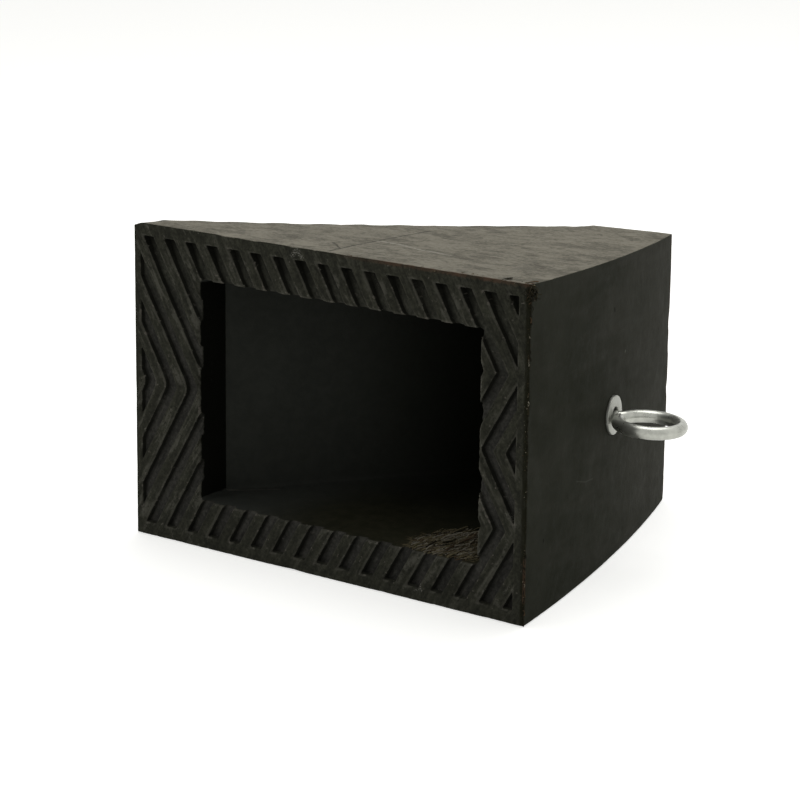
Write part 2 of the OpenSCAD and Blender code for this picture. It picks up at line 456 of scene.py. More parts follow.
noises = {                   # scale, detail, roughness, distortion
    "broad": (16, 4, 0.6), "fine": (130, 5, 0.65), "patches": (85, 5, 0.7), "crumbs": (420, 5, 0.7),
    "wipes": (60, 5, 0.6), "drag": (210, 5, 0.7), "specks": (290, 3, 0.6), "dots": (1300, 2, 0.5),
    "streaks": (95, 9, 0.78, 0.5), "clouds": (30, 7, 0.7, 0.3), "shaky": (120, 4, 0.6),
    "grain": (900, 4, 0.6), "coarseGrain": (190, 4, 0.6),
}
stretched = {                # what a noise runs along, where that isn't plain x, y and z
    "wipes": {"y": 0.22, "z": 1},
    "drag": {"ribRun": 1, "z": 0.2, "x": 0.1},
    "streaks": {"x": 0.55, "y": 1, "z": 1},
}
# A name and two or four numbers are a fade: its limits, and what it runs from and to.
# Lists are multiplied, and names with weights are summed. What is in no table is carried by the mesh
recipes = {
    "mottled": {"broad": 1, "fine": 0.35},
    "heelSide": [("facesHeel", 0.5, 0.8)],
    # the heel turns paler up towards the crest as painted light, with wiped patches from the wipes noise
    "paler": {("y", 0.03, 0.25, 0.0, 0.62): 1, ("wipes", 0.35, 0.7, -0.12, 0.22): 1},
    "pocketUp": [("facesUp", 0.5, 0.9)],
    "pocketFloor": ["inPocket", "pocketUp"],
    # where the painted shade deep in the pocket sets in, running along x
    "sooty": {"x": 1, "broad": 0.03},
    "brownish": {"x": 1, "broad": 0.06},
    "torn": {"fromTear": 1, "fine": 0.9},
    "liningShade": {("broad", 0.35, 0.65, 0.52, 0.68): 1, ("fine", 0.35, 0.65, 0.32, 0.48): 1},
    "tread": [("onTread", 0.9, 1.0)],
    "streaky": {"drag": 0.55, "fine": 0.45},
    "filmShade": [("streaky", 0.36, 0.64, 0.58, 1.32), ("crumbs", 0.35, 0.65, 0.70, 1.32)],
    "toeSide": [("towardsToe", -0.5, 0.5)],
    "ribEdge": [("grooveIn", -1.9, -0.3), ("grooveIn", 0.0, -0.12), ("toeSide", 0.0, 1.0, 0.3, 1.6)],
    "busy": {"nearMouth": 1, ("x", 0.075, 0.03, 0.0, 0.8): 1},
    "dragged": {"drag": 0.75, "crumbs": 0.25, "busy": 0.05},
    "softened": {"patches": 0.5, "drag": 0.5, "ribEdge": 0.09, "mouthEdge": 0.13},
    "chipped": {"crumbs": 1, "ribEdge": 0.05, "mouthEdge": 0.07},
    "spotty": {"crumbs": 1, "patches": 1},
    "flecked": {"specks": 1, "ribEdge": 0.035, "mouthEdge": 0.06},
    "onTop": [("facesUp", 0.75, 0.95), ("z", 0.075, 0.085), 0.98],
    "dusty": {"streaks": 0.45, "clouds": 0.25, "crumbs": 0.3},
    "bared": {"fine": 1, "clouds": 0.5},
    "markSpots": [("crumbs", 0.38, 0.52, 0.3, 1.0)],
    "towardsTop": {"z": 1, "crumbs": 0.003},
    "topEdge": [("towardsTop", 0.0988, 0.1004), ("x", 0.15, 0.22), ("y", 0.0025, 0.0)],
    "topStain": ["topEdge", ("patches", 0.38, 0.6, 0.2, 0.9)],
    "towardsHeel": {"x": 1, "crumbs": 0.004, "patches": 0.003},
    "heelEdge": [("towardsHeel", 0.2998, 0.3012), ("y", 0.0022, 0.0008)],
    "lowStain": [("z", -0.0585, -0.0615), ("z", -0.0875, -0.0845), ("x", 0.2983, 0.2990), 0.55],
    "anyStain": [("patches", 0.6, 0.7, 0.0, 0.5)],
    "rough": {"grain": 0.35, "coarseGrain": 0.9},
}
coats = {                    # the first colour, then those laid over it and where each shows
    # plain rubber, with painted light and wiped patches up the heel, and a brown band at the crest
    "plainRubber": ["deep", ("skin", ("mottled", 0.5, 0.85)), ("wiped", "heelSide", "paler"),
                    ("crest", ("y", 0.2355, 0.2405), ("broad", 0.35, 0.6, 0.2, 0.85))],
    "lyingSpots": ["pocketBrown", ("pocketPale", ("fine", 0.35, 0.65))],
    # the lining's colour, with painted shade deep in the pocket towards the heel
    "lining": ["pocketToe", ("pocketHeel", ("sooty", 0.105, 0.185)),
               ("lyingSpots", "pocketUp", ("brownish", 0.11, 0.19), ("y", 0.12, 0.0)),
               # painted shade on the pocket's toe wall
               ("toeWall", ("facesHeel", 0.86, 0.96))],
    "grooveFloor": ["groove", ("grooveHigh", ("z", 0.02, 0.08, 0.2, 1.0))],
    "film": ["ribTop", ("grooveFloor", ("grooveIn", 0.2, 0.6))],
    "dusting": ["dustDark", ("dust", ("dusty", 0.41, 0.57)), ("crack", ("bared", 0.93, 1.06, 0.0, 0.5))],
}
tearLayers = [("lint", ("torn", 1.45, 1.2), "pocketFloor", ("crumbs", 0.42, 0.55))]
bodyLayers = [               # grooveIn is in millimetres: below 0 on a rib, and above it down a groove's wall
    ("ridge", ("ridgeTop", 0.55, 1.0), ("patches", 0.38, 0.62, 0.2, 0.9)),
    ("shadedLining", "inPocket"),
    ("shadedFilm", "tread"),
    # painted shade: a soft dark band on the groove floor beside the toe-side wall
    ("wall", ("grooveIn", 0.2, 0.6), ("grooveIn", 3.4, 0.5), "toeSide", "tread", 0.62),
    # painted shade: the groove walls themselves are painted near black
    ("wall", ("grooveIn", -0.16, -0.06), ("grooveIn", 0.95, 0.40), "tread",
     ("z", -0.0908, -0.0915, 0.92, 0.3), ("patches", 0.3, 0.6, 0.85, 1.0)),
    # painted shade: the groove floors darken towards the upper rim
    ("wall", "tread", ("grooveIn", 0.3, 0.8), ("z", 0.0765, 0.0915, 0.0, 0.6)),
    ("rub", ("dragged", 0.56, 0.66), ("grooveIn", 0.0, -0.2), ("busy", 0.05, 0.7), "tread", 0.75),
    ("rub", ("softened", 0.51, 0.69), "tread", ("grooveIn", 0.1, -0.1, 0.35, 1.0), 0.68),
    ("scuff", ("chipped", 0.665, 0.75), "tread", 0.55),
    ("rub", "rub", "tread", ("grooveIn", 0.0, -0.15, 0.2, 1.0), ("spotty", 0.8, 1.1)),
    ("fleck", ("flecked", 0.645, 0.71), "tread", ("grooveIn", 0.1, -0.1, 0.3, 1.0), 0.5),
    ("scuff", "scratch", "tread", ("dots", 0.5, 0.6)),
]
# laid last: the dust on top, the darker heel edge and the stains
finalLayers = [
    ("markedDust", "onTop"),
    # the heel's foot edge turns darker
    ("edgeGrime", "heelEdge", ("fine", 0.3, 0.5, 0.4, 0.95)),
    ("mouldStain", "stained"),
]


def find(here, term):
    if isinstance(term, tuple):
        return ramp(find(here, term[0]), *term[1:])
    if not isinstance(term, str):
        return term
    if term not in here:
        recipe = recipes.get(term)
        if term in coats:
            here[term] = lay(here, rubber[coats[term][0]], coats[term][1:])
        elif term in noises:
            where = [weighed([weight], find(here, v)) for v, weight in stretched.get(term, {}).items()]
            here[term] = noise(joined(*where) if where else here["local"], *noises[term])
        elif isinstance(recipe, list):
            here[term] = product(*[find(here, v) for v in recipe])
        elif isinstance(recipe, dict):
            here[term] = weighed(recipe.values(), *[find(here, v) for v in recipe])
        else:
            here[term] = stored(here["local"].id_data, term)
    return here[term]


def lay(here, color, layers):
    for finish, *factors in layers:
        own = rubber[finish] if finish in rubber else find(here, finish)
        color = blendColor(product(*[find(here, v) for v in factors]), color, own)
    return color


def rubberMaterial():
    material, shader, where = newMaterial("mouldedRubber")
    local = upright(where)
    x, y, z = split(local)
    facing = split(add(material.node_tree, "ShaderNodeNewGeometry").outputs["True Normal"])
    here = {"local": local, "x": x, "y": y, "z": z, "facesHeel": facing[0], "facesUp": facing[2]}

    color = find(here, "plainRubber")
    # the heel cracks are drawn in the near black painted shade, the scratches in the scuff colour
    for name, finish in (("crack", "wall"), ("scratch", "scuff")):
        color = markColor(color, y, z, heelMarks[name], rubber[finish], find(here, "heelSide"))

    lining = markColor(find(here, "lining"), x, y, pocketScratches, rubber["rub"], find(here, "pocketFloor"))
    offX, offY = [calc("DIVIDE", minus(term, centre), reach) for term, (centre, reach) in zip((x, y), rubber["tear"])]
    here["fromTear"] = calc("SQRT", total(product(offX, offX), product(offY, offY)))
    here["shadedLining"] = scaled(lay(here, lining, tearLayers), find(here, "liningShade"))
    here["shadedFilm"] = scaled(find(here, "film"), find(here, "filmShade"))
    color = lay(here, color, bodyLayers)

    shaky = product(minus(find(here, "shaky"), 0.5), rubber["shake"])
    dusting = find(here, "dusting")
    for name in ("crack", "scratch"):
        dusting = markColor(dusting, total(x, shaky), total(y, shaky), topMarks[name], rubber[name],
                            find(here, "markSpots"))
    here["markedDust"] = dusting
    heelStain = product(find(here, "heelEdge"), calc("MAXIMUM", find(here, "lowStain"), find(here, "anyStain")))
    here["stained"] = calc("MAXIMUM", find(here, "topStain"), heelStain)
    color = lay(here, color, finalLayers)

    fill(shader, Base_Color=color, Roughness=find(here, rubber["roughness"]), IOR=rubber["index"],
         Specular_IOR_Level=rubber["shine"], Normal=bumped(find(here, "rough"), *rubber["bump"]))
    return material


tread = {
    "Pitch": 0.0173,
    "Rib": 0.0088,
    "Slant": 30.5,
    "Start": 0.0077,
    "Half width": 0.092,
    "Toe rim": 0.0055,
    "Heel rim": 0.0085,
    "Length": chock["length"],
    "Zigzag from": 0.16,     # chevrons up to here, a zigzag from here on
    "Heel fold": 0.0006,     # how soft the middle fold is at the heel
    "More at toe": 0.0022,   # and how much softer at the toe
    "Zigzag fold": 0.001,
    "Depth": 0.004,
    "Shallow": 0.56,         # share of the depth away from the side rims
    "Low end": 0.72,         # share of the depth at the rim that lies low
    "Cell": 0.00074,
    "Lip": 0.00012,          # a groove's wall starts this far outside its edge
    "Wall run": 0.00054,     # and slopes in by this much
    "Bevel": 0.00028,
    "Wobble": 0.0005,
    "Worn ribs": 0.0004,
    "Mouth wear": 0.0011,
    "Mouth round": 0.0022,
    "Mouth reach": 0.014,
    "Dents": 0.00022,
    "Big dents": 0.0007,     # on the plain faces
    "Small dents": 0.0002,
    "Corner wear": 0.0020,   # at the toe, on the side that faces up
    "Corner run": 0.011,
}
treadGrain = {               # noises, and the limits of fades
    "wander": (95, 3), "ripple": (420, 2), "rippleShare": 0.8,
    "tatter": (260, 3), "tatterFade": (0.3, 0.7, 0.35, 1.3),
    "bevel": (150, 3), "bevelFade": (0.3, 0.7, 0.6, 1.5), "bevelFrom": -0.0007,
    "worn": (70, 2), "wornFrom": -0.0018, "dents": (240, 4, 0.6),
    "bigDents": (28, 3), "bigFade": (0.5, 0.8), "smallDents": (210, 3), "smallFade": (0.45, 0.8),
    "rimFade": (0.074, 0.0915), "cornerHigh": (0.082, 0.0985), "clearOfRim": 0.0009,
}
bodyGrid = {                 # how finely the body is cut
    "sideStations": 10,
    "middleStations": 41,
    "heelSteps": 66,
    "crestSteps": 12,
    "waveSteps": 14,
    "edgeTurns": (30, 60, 90),
    "mouthDepths": (0.0016, 0.003, 0.005, 0.008, 0.012),
    "thinDepth": 0.016,      # from here down, the pocket's walls keep fewer points
    "thinEvery": 8,
    "cornerPoints": 4,
    "wallDepths": (0.020, 0.034),
    "wallRows": 24,
    "creaseHalf": 0.0006,
    "ceilingHold": (0.004, 0.0008),
}


def bodyMesh():
    cell = tread["Cell"]
    radius = chock["sideRound"]
    toeX = chock["toeBlock"]

    # Stations across the width, with every few of them kept on the plain faces
    outEdge, inEdge = tread["Lip"], tread["Wall run"] - tread["Lip"]
    halfTread = tread["Half width"]
    rim = spanOver([-halfWidth + radius, -halfTread - outEdge, -halfTread + inEdge, -pocketHalf], cell)
    middle = span(-pocketHalf, pocketHalf, cell)
    stations = rim[:-1] + middle + [-v for v in rim[:-1]][::-1]
    low, high, last = len(rim) - 1, len(rim) + len(middle) - 2, len(stations) - 1
    sides, middles = bodyGrid["sideStations"], bodyGrid["middleStations"]
    sparse = sorted(set(round(v) for v in [
        *np.linspace(0, low, sides), *np.linspace(low, high, middles), *np.linspace(high, last, sides)]))
    every = list(range(len(stations)))

    # Columns round the outline: a point, and the stations that it carries
    foot = roundCorner(toeTop, toeFoot, heelFoot, chock["edgeRound"])
    heelCorner = roundCorner(toeFoot, heelFoot, heelStrip(1), chock["footRound"])
    toeRim, heelRim = tread["Toe rim"], tread["Length"] - tread["Heel rim"]
    xs = spanOver([foot[-1][0] + cell, toeRim - outEdge, toeRim + inEdge, toeX], cell)
    pocketFirst = len(foot) + len(xs) - 1
    xs += span(toeX, pocketHeel, cell)[1:]
    pocketLast = len(foot) + len(xs) - 1
    xs += spanOver([pocketHeel, heelRim - inEdge, heelRim + outEdge, heelCorner[0][0] - cell], cell)[1:]
    heelTopArc = roundCorner(heelStrip(chock["heelStrips"] - 1), heelTop, crestFront, chock["edgeRound"])
    crestArc = roundCorner(heelTop, crestFront, toeTop, chock["edgeRound"])
    crest = [heelTopArc[-1] * (1 - t) + crestArc[0] * t for t in np.linspace(0, 1, bodyGrid["crestSteps"])[1:-1]]
    heel = [heelPoint(t) for t in np.linspace(0, 1, bodyGrid["heelSteps"])[1:-1]]
    plain = heelCorner + heel + heelTopArc + crest + crestArc
    wheelFirst = len(foot) + len(xs) + len(plain)
    steps = chock["waves"] * bodyGrid["waveSteps"]
    ridges = range(3, steps - 2)       # the rounded corners take the ends
    crests = {wheelFirst + i - 3: (1 - math.cos(2 * math.pi * chock["waves"] * i / steps)) / 2 for i in ridges}
    plain += [wheelPoint(i / steps) for i in ridges]
    plain += roundCorner(crestFront, toeTop, toeFoot, chock["edgeRound"])
    columns = [(p, sparse) for p in foot] + [((v, 0.0), every) for v in xs] + [(p, sparse) for p in plain]
    outline = np.array([p for p, kept in columns])
    ahead = np.roll(outline, -1, axis=0) - outline
    ahead /= np.linalg.norm(ahead, axis=1)[:, None]
    tangent = ahead + np.roll(ahead, 1, axis=0)
    tangent /= np.linalg.norm(tangent, axis=1)[:, None]
    inward = np.stack([-tangent[:, 1], tangent[:, 0]], axis=1)

    mesh = bmesh.new()
    skin, pocket, ridge = [mesh.verts.layers.float.new(name) for name in ("treadSkin", "inPocket", "ridgeTop")]
    grid = []
    for i, (p, kept) in enumerate(columns):
        narrow = (halfWidth - radius - p[1] * draftRate) / (halfWidth - radius)
        row = {}
        for j in kept:
            if not (pocketFirst < i < pocketLast and low < j < high):
                row[j] = mesh.verts.new((p[0], p[1], stations[j] * narrow))
                row[j][skin] = 1.0 if kept is every else 0.0
                row[j][ridge] = crests.get(i, 0.0)
        grid.append(row)

    # The mouth's four corners are pulled in to their radius
    corner = chock["pocketRound"]
    for i, sideX in ((pocketFirst, 1), (pocketLast, -1)):
        for j, sideZ in ((low, 1), (high, -1)):
            centre = (columns[i][0][0] + sideX * corner, stations[j] + sideZ * corner)
            for k in range(int(corner / cell) + 1):
                turn = math.pi / 4 * (1 + k * cell / corner)
                c, s = corner * math.cos(turn), corner * math.sin(turn)
                along, across = grid[i + sideX * k][j], grid[i][j + sideZ * k]
                along.co.x, along.co.z = centre[0] - sideX * c, centre[1] - sideZ * s
                across.co.x, across.co.z = centre[0] - sideX * s, centre[1] - sideZ * c

    for i, (p, kept) in enumerate(columns):
        here, there = grid[i], grid[(i + 1) % len(columns)]
        both = every if kept is every and columns[(i + 1) % len(columns)][1] is every else sparse
        for a, b in zip(both[:-1], both[1:]):
            if not (pocketFirst <= i < pocketLast and low <= a < high):
                near = [here[k] for k in range(a, b + 1) if k in here]
                mesh.faces.new(near + [there[k] for k in range(b, a - 1, -1) if k in there])

    # Rounded long edges, then a flat cap inside them
    turns = [math.radians(v) for v in bodyGrid["edgeTurns"]]
    rounded = [(radius * (1 - math.cos(v)), radius * (1 - math.sin(v))) for v in turns]
    for end, sign in ((0, -1), (last, 1)):
        ring = [row[end] for row in grid]
        for inset, down in rounded + [(chock["sideHold"], 0)]:
            points = outline + inward * inset
            ring = bridge(mesh, ring, [mesh.verts.new((
                q[0], q[1], sign * (halfWidth - q[1] * draftRate - down))) for q in points])
        mesh.faces.new(ring)

    # Pocket walls, from the mouth down
    loop = [(i, low) for i in range(pocketFirst, pocketLast)] + [(pocketLast, j) for j in range(low, high)]
    loop += [(i, high) for i in range(pocketLast, pocketFirst, -1)] + [(pocketFirst, j) for j in range(high, low, -1)]
    mouth = [grid[i][j] for i, j in loop]
    slope = wheelDir[1] / wheelDir[0]
    wheelX = toeTop[0] + chock["slopeWall"] / wheelDir[1]
    creaseY = toeTop[1] + (toeX - wheelX) * slope
    topY = crestFront[1] - chock["crestWall"]
    flat = [(v.co.x, v.co.z) for v in mouth]

    def pocketRow(points, depth, weight=0.0):
        left = max(toeX, wheelX + (depth - toeTop[1]) / slope)
        share = (pocketHeel - depth * leanRate - left) / (pocketHeel - toeX)
        narrow = (pocketHalf - depth * draftRate) / pocketHalf
        row = [mesh.verts.new((left + share * (px - toeX), depth, pz * narrow)) for px, pz in points]
        for vert in row:
            vert[skin] = weight
            vert[pocket] = 1.0
        return row

    ring = mouth
    deepest = bodyGrid["mouthDepths"][-1]
    for depth in bodyGrid["mouthDepths"]:
        ring = bridge(mesh, ring, pocketRow(flat, depth, 1 - depth / deepest))
    count = len(loop)
    corners = [0, pocketLast - pocketFirst, pocketLast - pocketFirst + high - low]
    corners.append(corners[1] + corners[2])
    kept = [k for k in range(count) if k % bodyGrid["thinEvery"] == 0 or
            min(min(abs(k - c), count - abs(k - c)) for c in corners) <= bodyGrid["cornerPoints"]]
    new = pocketRow([flat[k] for k in kept], bodyGrid["thinDepth"])
    for a in range(len(kept)):
        b = (a + 1) % len(kept)
        stop = kept[b] if b else count
        mesh.faces.new([ring[k % count] for k in range(kept[a], stop + 1)] + [new[b], new[a]])
    ring = new
    upper, lower = bodyGrid["wallDepths"]
    crease, (hold, tight) = bodyGrid["creaseHalf"], bodyGrid["ceilingHold"]
    for depth in [upper, creaseY - crease, creaseY, creaseY + crease,
                  *np.linspace(lower, topY - hold, bodyGrid["wallRows"]), topY - tight, topY]:
        ring = bridge(mesh, ring, pocketRow([flat[k] for k in kept], depth))
    ceiling = mesh.faces.new(ring)
    for edge in ceiling.edges:
        edge.smooth = False
    result = smoothMesh(mesh, "rubberBody")
    for name, marks in treadMarks.items():
        drawMarks(result, name, marks)
    return result


def treadTree():
    tree, given, out = newTree("treadRibs", {**tread, "Material": None})
    grain = treadGrain
    place = add(tree, "GeometryNodeInputPosition").outputs[0]
    x, y, z = split(place)
    skin = stored(tree, "treadSkin")
    absZ = calc("ABSOLUTE", z)
    toeSide = calc("LESS_THAN", x, given["Zigzag from"])
    soft = calc("MULTIPLY_ADD", toeSide, given["More at toe"], given["Heel fold"])
    softZ = calc("SQRT", calc("MULTIPLY_ADD", z, z, product(soft, soft)))
    offRim = minus(given["Half width"], softZ)
    zigzag = calc("SMOOTH_MIN", offRim, softZ, given["Zigzag fold"])
    fold = calc("MULTIPLY_ADD", toeSide, minus(offRim, zigzag), zigzag)
    slant = calc("RADIANS", given["Slant"])
    wander = minus(noise(place, *grain["wander"]), 0.5)
    ripple = minus(noise(place, *grain["ripple"]), 0.5)
    wobble = product(given["Wobble"], calc("MULTIPLY_ADD", ripple, grain["rippleShare"], wander))
    run = total(minus(x, given["Start"]), wobble)
    run = minus(run, product(calc("TANGENT", slant), fold))
    halfGroove = product(minus(given["Pitch"], given["Rib"]), 0.5)
    halfPitch = product(given["Pitch"], 0.5)
    turn = calc("FLOORED_MODULO", total(minus(run, halfGroove), halfPitch), given["Pitch"])
    offCentre = calc("ABSOLUTE", minus(turn, halfPitch))
    lean = calc("COSINE", slant)
    inGroove = product(minus(halfGroove, offCentre), lean)
    heelRoom = minus(minus(given["Length"], given["Heel rim"]), x)
    window = chain("MINIMUM", (minus(given["Half width"], absZ), minus(x, given["Toe rim"]), heelRoom))

    # Points beside a groove's edge slide along x to one of four lines, which keeps the wall clean
    line = calc("ROUND", calc("DIVIDE", inGroove, product(given["Cell"], lean)))
    near = product(calc("GREATER_THAN", line, -1.5), calc("LESS_THAN", line, 2.5),
                   calc("GREATER_THAN", window, grain["clearOfRim"]), calc("GREATER_THAN", skin, 0.99))
    missing = minus(product(line, given["Wall run"]), given["Lip"])
    missing = product(minus(missing, inGroove), near)
    side = calc("SIGN", minus(halfPitch, turn))
    slide = product(calc("DIVIDE", missing, lean), side)
    inside = calc("MINIMUM", total(inGroove, missing), window)
    outEdge = product(given["Lip"], -1.0)
    cut = ramp(inside, outEdge, minus(given["Wall run"], given["Lip"]), smooth=False)

    # How far down each point goes: the groove, the worn mouth, the bevels and small dents
    rimFrom, rimTo = grain["rimFade"]
    share = calc("MAXIMUM", ramp(z, rimFrom, rimTo, given["Shallow"], 1.0),
                 ramp(z, -rimFrom, -rimTo, given["Shallow"], given["Low end"]))
    depth = product(given["Depth"], share)
    offMouth = chain("MAXIMUM", (minus(absZ, pocketHalf), minus(chock["toeBlock"], x), minus(x, pocketHeel)))
    mouth = ramp(offMouth, given["Mouth round"], 0.0)
    tatter = ramp(noise(place, *grain["tatter"]), *grain["tatterFade"])
    drop = product(mouth, mouth, tatter, given["Mouth wear"])
    uneven = ramp(noise(place, *grain["bevel"]), *grain["bevelFade"])
    bevel = product(ramp(inside, grain["bevelFrom"], outEdge), given["Bevel"], uneven)
    worn = product(ramp(inside, grain["wornFrom"], 0.0), noise(place, *grain["worn"]), given["Worn ribs"])
    dents = product(noise(place, *grain["dents"]), given["Dents"])
    down = product(skin, total(product(cut, depth), drop, bevel, worn, dents))
    plainDents = total(ramp(noise(place, *grain["bigDents"]), *grain["bigFade"], 0.0, given["Big dents"]),
                       ramp(noise(place, *grain["smallDents"]), *grain["smallFade"], 0.0, given["Small dents"]))
    push = scaled(add(tree, "GeometryNodeInputNormal").outputs[0], product(minus(skin, 1.0), plainDents))
    corner = ramp(x, given["Corner run"], 0.0)
    corner = product(corner, corner, ramp(z, *grain["cornerHigh"]), given["Corner wear"], -1.0)
    both = addInOrder("ShaderNodeVectorMath", {"operation": "ADD"}, (push, joined(slide, down, corner)))

    flow = given["Geometry"]
    marks = {"onTread": skin, "ribRun": run, "towardsToe": side, "grooveIn": product(inside, 1000.0),
             "mouthEdge": product(mouth, skin),
             "nearMouth": product(skin, ramp(offMouth, given["Mouth reach"], 0.0))}
    for name, value in marks.items():
        flow = store(flow, "POINT", name, value)
    flow = add(tree, "GeometryNodeSetPosition", Geometry=flow, Offset=both).outputs[0]
    flow = add(tree, "GeometryNodeTriangulate", {"quad_method": "SHORTEST_DIAGONAL"}, Mesh=flow,
               Selection=calc("GREATER_THAN", skin, 0.01)).outputs[0]
    return endTree(flow, given, out)


rubberFinish = rubberMaterial()
body = runTree(placed("bodyBlank", bodyMesh()), treadTree(), {**tread, "Material": rubberFinish}, "rubberBody")
settle(body, "rubber_body", slot="rubber")

# Torn rubber left by the mould: fibres along two edges, a tuft at their corner, loose hairs over the top edge,
# and a torn patch in the pocket
fibre = {
    "Length": 0.0022,
    "Spread": 0.6,           # how much the lengths differ
    "Thick": 0.00011,
    "Curl": 0.35,
    "Turn low": (0.0, 0.0, 0.0),
    "Turn high": (0.0, 0.0, 0.0),
    "Seed": 4,
}
fibreColors = {
    "black": (0.0075, 0.0068, 0.0038),
    "brown": (0.030, 0.026, 0.0135),
    "rust": (0.090, 0.054, 0.030),
    "straw": (0.185, 0.158, 0.092),
    "pale": (0.36, 0.33, 0.26),
}
fibreMixes = {               # the share of the fibres at which each colour starts
    "tornFlash": {"black": 0.0, "brown": 0.6, "rust": 0.88, "pale": 0.95},
    "tornTuft": {"black": 0.0, "brown": 0.5, "rust": 0.92},
    "tornStained": {"brown": 0.0, "rust": 0.3, "straw": 0.75, "black": 0.93},
    "tornLining": {"straw": 0.0, "brown": 0.42, "pale": 0.54, "rust": 0.82, "black": 0.92},
}
fibreLook = {
    "tipThinner": 0.75,      # how much thinner a fibre is at its tip
    "blend": 0.03,
    "speckle": (700, 3, 0.6), "speckleFade": (0.35, 0.7, 0.0, 0.45),
    "roughness": 0.9, "shine": 0.1, "grain": (1500, 2), "bump": (0.3, 0.0001),
}


def fibreTree(name):
    tree, given, out = newTree(name, {**fibre, "Material": None})
    spine = add(tree, "GeometryNodeCurveQuadraticBezier", Resolution=5, Start=(0, 0, 0),
                Middle=joined(0.5, given["Curl"]), End=(1, 0, 0)).outputs[0]
    taper = minus(1.0, product(add(tree, "GeometryNodeSplineParameter").outputs["Factor"], fibreLook["tipThinner"]))
    spine = add(tree, "GeometryNodeSetCurveRadius", Curve=spine, Radius=taper).outputs[0]
    outline = add(tree, "GeometryNodeCurvePrimitiveCircle", Resolution=3,
                  Radius=calc("DIVIDE", given["Thick"], given["Length"])).outputs[0]
    strand = add(tree, "GeometryNodeCurveToMesh", Curve=spine, Profile_Curve=outline, Fill_Caps=True).outputs[0]

    def chance(kind, low, high, step):
        node = add(tree, "FunctionNodeRandomValue", {"data_type": kind}, Seed=total(given["Seed"], step))
        first = 0 if kind == "FLOAT_VECTOR" else 2
        plug(node.inputs[first], low)
        plug(node.inputs[first + 1], high)
        return node.outputs[first // 2]

    longer = chance("FLOAT", minus(1.0, given["Spread"]), total(1.0, given["Spread"]), 1)
    flow = add(tree, "GeometryNodeInstanceOnPoints", Points=given["Geometry"], Instance=strand,
               Rotation=chance("FLOAT_VECTOR", given["Turn low"], given["Turn high"], 2),
               Scale=product(given["Length"], longer, stored(tree, "longer"))).outputs[0]
    return endTree(store(flow, "INSTANCE", "tint", chance("FLOAT", 0.0, 1.0, 3)), given, out)


def fibreMaterial(name, mix):
    material, shader, where = newMaterial(name)
    tint = stored(material.node_tree, "tint")
    look, blend, color = fibreLook, fibreLook["blend"], None
    for finish, start in mix.items():
        own = fibreColors[finish]
        color = own if color is None else blendColor(ramp(tint, start - blend, start + blend), color, own)
    speckle = ramp(noise(where, *look["speckle"]), *look["speckleFade"])
    fill(shader, Base_Color=blendColor(speckle, color, fibreColors["brown"]), Roughness=look["roughness"],
         Specular_IOR_Level=look["shine"], Normal=bumped(noise(where, *look["grain"]), *look["bump"]))
    return material


half = math.pi / 2
tangles = {                  # turns are in radians, and a fibre that isn't turned points along x
    "heelFlash": {"Turn low": (-0.8, half - 0.45, -0.5), "Turn high": (0.8, half + 0.35, 0.2),
                  "Length": 0.0026, "Thick": 0.00034},
    "topFlash": {"Turn low": (-0.4, -0.25, -0.5), "Turn high": (0.4, 0.1, 2.2),
                 "Length": 0.0026, "Thick": 0.00026, "Seed": 9},
    "cornerTuft": {"Turn low": (-1.0, -0.3, -1.5), "Turn high": (1.0, 1.3, 0.9),
                   "Length": 0.0052, "Thick": 0.00022, "Curl": 0.8, "Seed": 21},
    "looseHairs": {"Turn low": (-0.1, -0.01, 1.25), "Turn high": (0.1, 0.02, 1.95),
                   "Length": 0.0085, "Spread": 0.1, "Thick": 0.00034, "Curl": 0.25, "Seed": 5},
    "tornPatch": {"Turn low": (-0.35, -0.12, 0.9), "Turn high": (0.35, 0.02, 1.9),
                  "Length": 0.0052, "Thick": 0.00030, "Curl": 0.12, "Seed": 33},
}
flash = {
    "heelRange": (-0.097, 0.098, 700),         # along the edge, and how many
    "heelClump": (-0.074, 0.011, 70),          # middle, spread, and how many
    "clumpEnds": (-0.09, -0.055),
    "heelX": 0.2994,
    "heelSpread": (-0.0024, 0.0003),
    "heelY": 0.0003,
    "topRanges": ((0.158, 0.2995, 520), (0.262, 0.2995, 180)),
    "topPlace": (0.0008, 0.0990),
    "tuftCount": 190,
    "tuftCorner": (0.2993, 0.0005, 0.0985),
    "tuftSpread": (0.0020, 0.0040),
    "heelLengths": (0.4, 1.0),                 # as shares of a fibre's length
    "topLengths": (0.3, 1.0),
    "topShortest": 0.2,
    "tuftLengths": (0.3, 1.0),
    "patchLengths": (0.4, 1.3),
}
hairPlaces = [               # x, z and length
    (0.2795, 0.1000, 1.0), (0.2815, 0.1000, 0.7), (0.2955, 0.1000, 1.2),
    (0.2975, 0.0999, 0.8), (0.2520, 0.1000, 0.5), (0.2230, 0.1000, 0.4)]
hairDepth = 0.0004
patch = {
    "count": 1500,
    "centre": (0.236, 0.022),
    "reach": (0.029, 0.030),
    "ragged": 0.4,
    "baldFrom": 0.230,       # a narrow band through it is bare
    "baldBend": (0.019, 0.1, 0.25),
    "baldHalf": 0.0032,
    "heelGap": 0.002,
    "lowest": 0.001,
    "topEdge": (0.062, 0.5, 0.25),
    "lift": (-0.0002, 0.0006),
}
keepInside = 0.00005         # how far the fibres stay inside the box


def fibres(name, points, lengths, finish):
    mesh = bmesh.new()
    layer = mesh.verts.layers.float.new("longer")
    for point, length in zip(points, lengths):
        mesh.verts.new(point)[layer] = length
    values = {**fibre, **tangles[name], "Material": fibreFinishes[finish]}
    return runTree(placed(name + "Points", asMesh(mesh, name)), fibreTree(name), values, name)


